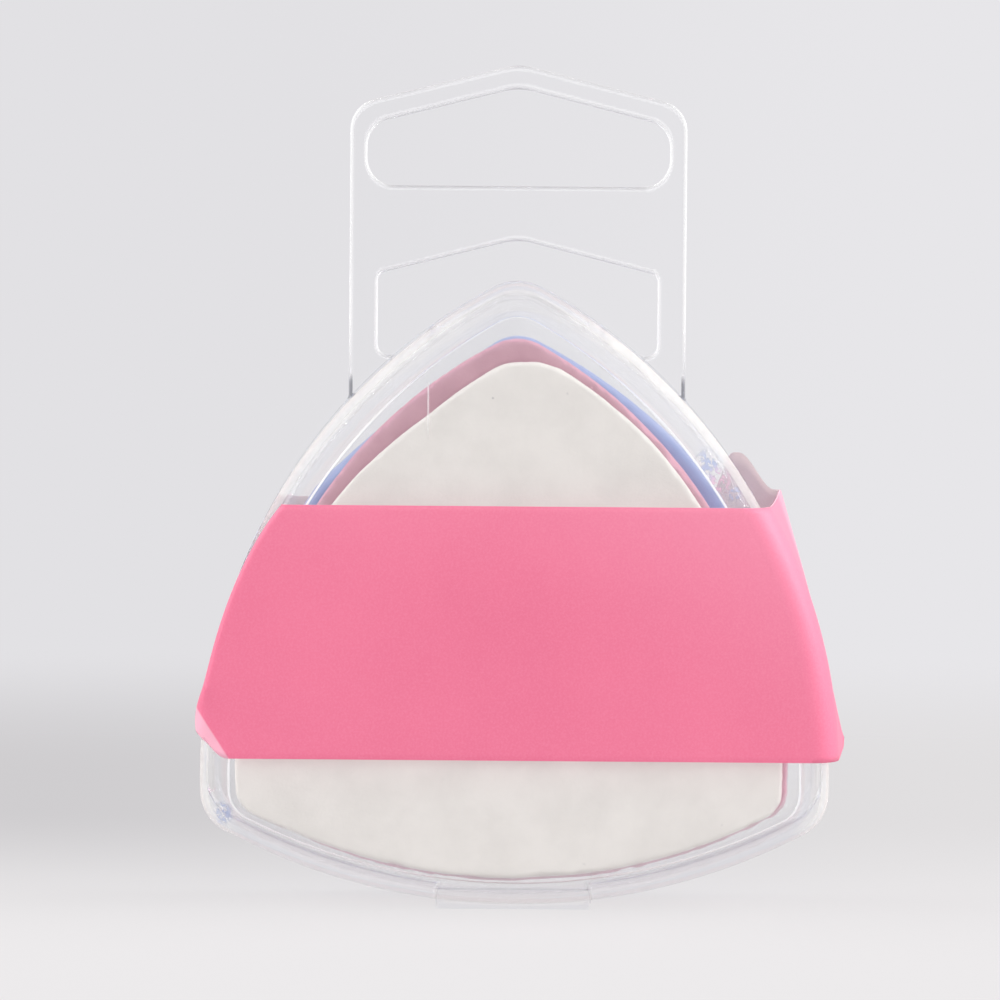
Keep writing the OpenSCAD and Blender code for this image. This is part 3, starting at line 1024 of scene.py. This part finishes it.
# Share of the height over which the left edge leaves the bevel, and of its length that stays flat
OFF_SHARE = 0.3
FLAT_SHARE = 0.7
TURN_R = 0.45
LIP = 0.35
LIP_OFF = 1.2
LEFT_UP = 2.1
BEND_W = 2.4
BEND_Y = 3.5
BEND_OFF = 0.5
# How much higher the loose side's rear corner stands than the front, at the top and at the foot
REAR_UP = 1.1
REAR_CUT = 0.9
CUT_SHARE = 0.15
# How far the loose side's rear edge bows out
LOOSE_BOW = 0.5


def walk(path, distance):
    """Point at a distance along a path."""
    for a, b in zip(path, path[1:]):
        length = hypot(b[0] - a[0], b[1] - a[1])
        if distance <= length:
            return mix2(a, b, distance / length)
        distance -= length
    return path[-1]


# What the wrapped edge lies on: from the middle of the window's rounded edge to the rim
WRAP_PATH = OUTER_PROFILE[4:] + [RIM_EDGE]


def left_inset(k):
    """How far inside the case's outline the label turns back on the left."""
    return (0.15 + 0.75 * k + 0.75 * k ** 8) * ease(k / 0.4)


def loose_x(k):
    """Where the loose side ends at the rear."""
    low, top = half_w(LABEL_Z, 0) + FLARE_LOW, half_w(LABEL_TOP, 0) + FLARE_TOP
    return mix(low, top, k) + 4 * LOOSE_BOW * k * (1 - k)


def label_row(k):
    """Row of [x, y, z] points across the label at share k of its height."""
    z = mix(LABEL_Z, LABEL_TOP, k)
    length = mix(WRAP_TOP, WRAP_LOW, 1 - k) * min(1, mix(TUCK_LEFT, 1, k / TUCK_SHARE))
    off = ease(k / OFF_SHARE)
    row = []
    for i in range(WRAP_N):
        t = 1 - i / WRAP_N
        here = z + LEFT_UP * t * t * (1 - k) ** 8
        y, d = walk(WRAP_PATH, length * t)
        hug = (-half_w(here, d), y)
        # Higher up it runs on flat past the window's edge and then turns back
        left, edge = -half_w(here, WINDOW_D), -half_w(here, 0) + left_inset(k)
        turn = pi / 2 * max(0, t - FLAT_SHARE) / (1 - FLAT_SHARE)
        flat_x = mix(left, edge + TURN_R, min(1, t / FLAT_SHARE)) - TURN_R * sin(turn)
        x, y = mix2(hug, (flat_x, FRONT_Y + TURN_R * (1 - cos(turn))), off)
        lip = LIP * max(0, 1 - k / OFF_SHARE) ** 2 * t * t + LIP_OFF * off * (1 - off) * t
        row.append((x - lip, y - lip / 2, here))
    w = half_w(z, 0)
    left, right = -half_w(z, WINDOW_D), w - BEND_W
    row += [(mix(left, right, i / FRONT_N), FRONT_Y, z) for i in range(FRONT_N)]
    corner, foot = (w, FRONT_Y), (w + BEND_OFF, FRONT_Y + BEND_Y)
    for i in range(BEND_N):
        t = i / BEND_N
        row.append((*mix2(mix2((right, FRONT_Y), corner, t), mix2(corner, foot, t), t), z))
    rear = (loose_x(k), BACK_Y)
    for i in range(LOOSE_N + 1):
        t = i / LOOSE_N
        cut = min(1, max(0, t - 1 + CUT_SHARE) / CUT_SHARE)
        up = REAR_UP * t * t * k ** 4 + REAR_CUT * (1 - sqrt(1 - cut * cut)) * (1 - k) ** 20
        row.append((*mix2(foot, rear, t), z + up))
    return row


def offset_row(row, distance):
    """A row moved outwards by a distance."""
    made = []
    for i in range(len(row)):
        a, b = row[max(i - 1, 0)], row[min(i + 1, len(row) - 1)]
        u, v = b[0] - a[0], b[1] - a[1]
        x, y, z = row[i]
        made.append((x + distance * v / hypot(u, v), y - distance * u / hypot(u, v), z))
    return made


def make_label_front():
    shell = Shell()
    outer, inner = [], []
    for r in range(LABEL_ROWS + 1):
        row = label_row(r / LABEL_ROWS)
        outer.append(shell.loop(offset_row(row, PAPER_FIT + PAPER_T)))
        inner.append(shell.loop(offset_row(row, PAPER_FIT)))
    close_sheet(shell, outer, inner)
    piece = shell.build("label_front_paper", [PRINT, SHADED_INSIDE, CUT])
    dress(piece, "cover", "label_front")


def close_sheet(shell, outer, inner):
    """Faces of a thin sheet between two grids: its print, its inside and its cut edges."""
    print_side, inside, cut = range(3)
    for grid, kind in ((outer, print_side), (inner, inside)):
        for a, b in zip(grid, grid[1:]):
            shell.bridge(a, b, kind, closed=False)
    for end in (0, -1):
        shell.bridge(outer[end], inner[end], cut, closed=False)
    for end in (0, -1):
        shell.bridge([row[end] for row in outer], [row[end] for row in inner], cut, closed=False)


# Rows up the back panel, and points along it, the finer ones over its last part
BACK_ROWS = 44
BACK_N = 24
FLAP_N = 32
FINE_W = 8
# The flap: where it starts, is highest and ends at the right, with its rise above the label there
FLAP_X = (20.4, 23, 23.6, 27.4)
FLAP_RISE = 5.0
# Share of the height that stays level below the flap
LEVEL_SHARE = 0.8


def back_top(x):
    """Height of the back panel's upper edge, with its curled flap."""
    up = ease((x - FLAP_X[0]) / (FLAP_X[1] - FLAP_X[0]))
    down = ease((x - FLAP_X[2]) / (FLAP_X[3] - FLAP_X[2]))
    return LABEL_TOP + up * mix(FLAP_RISE, REAR_UP, down)


def make_label_back():
    shell = Shell()
    outer, inner = [], []
    for r in range(BACK_ROWS + 1):
        k = r / BACK_ROWS
        z = mix(LABEL_Z, LABEL_TOP, k)
        left, right = -half_w(z, PAPER_T), loose_x(k)
        fine = right - FINE_W
        spread = [mix(left, fine, i / BACK_N) for i in range(BACK_N)]
        spread += [mix(fine, right, i / FLAP_N) for i in range(FLAP_N + 1)]
        share = max(0, (k - LEVEL_SHARE) / (1 - LEVEL_SHARE)) ** 1.5
        line = [(x, z + (back_top(x) - LABEL_TOP) * share) for x in spread]
        inner.append(shell.flat_loop(line, BACK_Y + PAPER_FIT))
        outer.append(shell.flat_loop(line, BACK_Y + PAPER_FIT + PAPER_T))
    close_sheet(shell, outer, inner)
    piece = shell.build("label_back_paper", [PRINT, SHADED_INSIDE, CUT])
    dress(piece, "base", "label_back")


make_lid()
make_tray()
make_tablet("blue_tablet", "chalk_blue", 0, BLUE, 11, BLUE_LOSS, (0.85, 0.85), wear=0.2)
make_tablet("pink_tablet", "chalk_pink", 1, PINK, 27, PINK_LOSS, (0.5, 0.5), wear=0.6)
make_tablet("white_tablet", "chalk_white", 2, WHITE, 41, WHITE_LOSS, (0.7, 0.4), wear=0.3)
make_label_front()
make_label_back()


# Floor, background and lamps

AMBIENT = 0.34
# What the lamps face
MIDDLE = (0, 0, 0.04)
BACKGROUND_LEFT = linear(226, 225, 228)
BACKGROUND_RIGHT = linear(231, 230, 233)
FLOOR_NEAR = linear(233, 231, 232)
# Behind the case the floor is darker as a painted soft shadow, deepest on the left
FLOOR_SHADOW_LEFT = linear(205, 203, 205)
FLOOR_SHADOW_RIGHT = linear(222, 220, 221)
# Share of the floor's brightness that shadows don't reach, as on a lit base
FLOOR_GLOW = 0.88
FLOOR_SIZE = 3.0
# Where the floor starts to fade and where it is gone, to the sides and to the rear
FLOOR_FADE = (0.13, 0.36)


def make_floor():
    """Pale floor, brighter towards the camera and darker behind the case with a painted soft
    shadow, deepest on the left, that fades into the background behind.
    """
    made, tree = new_material("floor_pale")
    x, y, z = axes(tree)
    # Painted shadow: behind the case the floor goes from the darker left to the right
    rear = blend(tree, span(tree, x, -0.06, 0.06), FLOOR_SHADOW_LEFT, FLOOR_SHADOW_RIGHT)
    colour = blend(tree, span(tree, y, -0.03, 0.09), FLOOR_NEAR, rear)
    lit = add(tree, "BsdfDiffuse", Color=colour)
    glow = add(tree, "Emission", Color=colour, Strength=1.0)
    surface = mixed(tree, FLOOR_GLOW, lit, glow)
    faded = span(tree, maths(tree, "MAXIMUM", away_from_0(tree, x), y), *FLOOR_FADE)
    output(tree, mixed(tree, faded, surface, add(tree, "BsdfTransparent")))
    mesh = bpy.data.meshes.new("floor")
    s = FLOOR_SIZE / 2
    mesh.from_pydata([(-s, -s, 0), (s, -s, 0), (s, s, 0), (-s, s, 0)], [], [(0, 1, 2, 3)])
    mesh.materials.append(made)
    floor = bpy.data.objects.new("floor", mesh)
    bpy.context.scene.collection.objects.link(floor)


def make_world():
    world = bpy.data.worlds.new("studio")
    world.use_nodes = True
    tree = world.node_tree
    tree.nodes.clear()
    across = span(tree, axes(tree, "Generated")["X"], -0.05, 0.08)
    sky = blend(tree, across, BACKGROUND_LEFT, BACKGROUND_RIGHT)
    seen = add(tree, "Background", Color=sky, Strength=1.0)
    light = add(tree, "Background", Color=(0.98, 0.98, 1, 1), Strength=AMBIENT)
    share = any_ray(tree, "Is Camera Ray", "Is Glossy Ray", "Is Transmission Ray")
    add(tree, "OutputWorld", Surface=mixed(tree, share, light, seen).outputs[0])
    bpy.context.scene.world = world


# Soft boxes facing the case: name, place in metres, width, height and power
LAMPS = [
    ("left_box", (-0.7, -0.35, 0.4), 0.3, 0.6, 1.6),
    ("right_box", (0.7, -0.35, 0.4), 0.3, 0.6, 1.8),
    ("front_box", (0, -0.95, 0.35), 0.9, 0.4, 3.4),
    ("left_rim", (-0.7, 0.14, 0.5), 0.5, 0.8, 4.5),
    ("right_rim", (0.7, 0.14, 0.5), 0.5, 0.8, 6),
]


def make_lamp(name, place, width, height, power):
    data = bpy.data.lights.new(name, "AREA")
    data.shape = "RECTANGLE"
    data.size = width
    data.size_y = height
    data.energy = power
    lamp = bpy.data.objects.new(name, data)
    lamp.location = place
    lamp.rotation_euler = (Vector(MIDDLE) - Vector(place)).to_track_quat("-Z", "Y").to_euler()
    bpy.context.scene.collection.objects.link(lamp)


# Camera

TARGET = Vector((-1.7, 0, 41.9)) * MM
DISTANCE = 550 * MM
ELEVATION = radians(2.5)
ROLL = radians(0.45)
LENS = 190
SENSOR_W = 36


def make_camera():
    data = bpy.data.cameras.new("camera")
    data.lens = LENS
    data.sensor_width = SENSOR_W
    camera = bpy.data.objects.new("camera", data)
    back = Vector((0, -cos(ELEVATION), sin(ELEVATION)))
    place = Matrix.Translation(TARGET + back * DISTANCE)
    turn = (-back).to_track_quat("-Z", "Y").to_matrix().to_4x4()
    camera.matrix_world = place @ turn @ Matrix.Rotation(ROLL, 4, "Z")
    bpy.context.scene.collection.objects.link(camera)
    bpy.context.scene.camera = camera


make_floor()
make_world()
for lamp in LAMPS:
    make_lamp(*lamp)
make_camera()
bpy.context.scene.view_settings.view_transform = "Standard"
cycles = bpy.context.scene.cycles
# Light that bounces inside the clear walls
cycles.max_bounces = 32
cycles.glossy_bounces = 16
cycles.transmission_bounces = 32
cycles.transparent_max_bounces = 32
# The clay is lit through the plastic as through air, so light isn't counted twice
cycles.caustics_reflective = False
cycles.caustics_refractive = False
